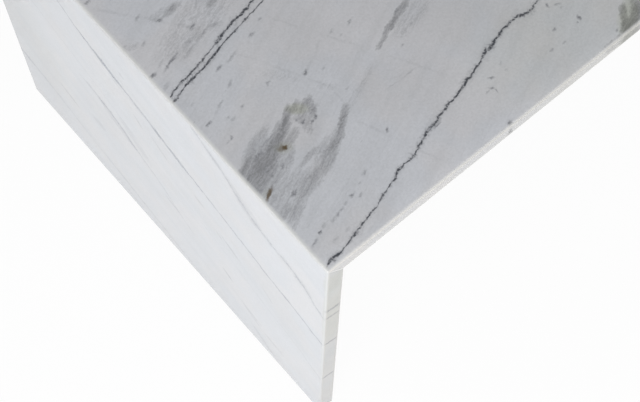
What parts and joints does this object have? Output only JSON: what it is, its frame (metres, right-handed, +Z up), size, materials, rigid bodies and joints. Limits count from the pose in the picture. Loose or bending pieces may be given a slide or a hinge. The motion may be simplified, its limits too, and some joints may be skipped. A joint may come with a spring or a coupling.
{
  "type": "coffee table",
  "caption": "Waterfall coffee table: a marble top mitred to marble slab ends, open along both long sides, with steel angle brackets in the inner corners.",
  "frame": {"origin": "on the floor, under the middle of the top", "axes": "+X along the table's length, +Y from its front to its back, +Z up"},
  "size_m": [1.2, 0.6, 0.46],
  "materials": {
    "marble_top": "polished",
    "marble_ends": "polished",
    "bond_epoxy": "satin",
    "bracket_steel": "zinc plated",
    "fastener_steel": "plain stainless",
    "insert_brass": "turned",
    "bar_steel": "mill",
    "slot_resin": "ground flush",
    "foot_felt": "dense felt"
  },
  "bodies": {
    "root": {"top_slab": "marble_top", "left_end_panel": "marble_ends", "right_end_panel": "marble_ends", "left_mitre_bond": "bond_epoxy", "left_bracket_front": "bracket_steel", "left_bracket_rear": "bracket_steel", "left_bracket_screws": "fastener_steel", "left_bracket_washers": "fastener_steel", "left_screw_inserts": "insert_brass", "left_foot_pad_front": "foot_felt", "left_foot_pad_middle": "foot_felt", "left_foot_pad_rear": "foot_felt", "right_mitre_bond": "bond_epoxy", "right_bracket_front": "bracket_steel", "right_bracket_rear": "bracket_steel", "right_bracket_screws": "fastener_steel", "right_bracket_washers": "fastener_steel", "right_screw_inserts": "insert_brass", "right_foot_pad_front": "foot_felt", "right_foot_pad_middle": "foot_felt", "right_foot_pad_rear": "foot_felt", "reinforcing_bar_front": "bar_steel", "reinforcing_bar_middle": "bar_steel", "reinforcing_bar_rear": "bar_steel", "bar_resin_front": "slot_resin", "bar_resin_middle": "slot_resin", "bar_resin_rear": "slot_resin"}
  },
  "joints": []
}
